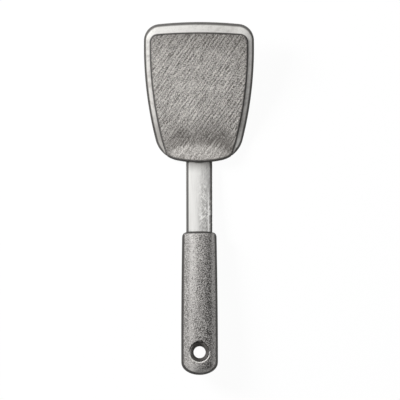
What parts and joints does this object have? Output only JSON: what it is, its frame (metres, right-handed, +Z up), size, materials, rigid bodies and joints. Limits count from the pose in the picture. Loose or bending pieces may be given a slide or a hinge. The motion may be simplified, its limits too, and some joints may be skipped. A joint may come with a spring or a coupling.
{
  "type": "flexible turner",
  "caption": "Flexible turner: a bent silicone head with a pale thin lip, on a flat steel stem with a soft oval grip and a hanging hole.",
  "frame": {"origin": "on the surface that the tool lies on, under the middle of its box", "axes": "+X across the tool to the right, +Y from the butt of the grip to the front edge of the head, +Z up out of the head's face"},
  "size_m": [0.0952, 0.3052, 0.0296],
  "materials": {
    "pad_silicone": "matt moulded silicone with fine slanting strokes",
    "edge_silicone": "smooth satin silicone",
    "spring_steel": "bare spring steel",
    "stem_steel": "brushed along its length",
    "rivet_steel": "bare steel",
    "core_plastic": "matt moulded",
    "grip_rubber": "grainy soft-touch rubber",
    "eyelet_plastic": "satin moulded"
  },
  "bodies": {
    "handle": {"stem": "stem_steel", "rivet_left": "rivet_steel", "rivet_right": "rivet_steel", "handle_core": "core_plastic", "grip": "grip_rubber", "hanging_eyelet": "eyelet_plastic"},
    "blade": {"head_pad": "pad_silicone", "flexible_edge": "edge_silicone", "spring_core": "spring_steel"}
  },
  "joints": [
    {"name": "blade_flex", "type": "hinge", "parent": "handle", "child": "blade", "pos_m": [0, 0.05393, 0.0053], "axis": [1, 0, 0], "range_deg": [-12, 25], "stiffness_Nm_per_rad": 2, "deforming": ["head_pad", "flexible_edge", "spring_core"]}
  ]
}
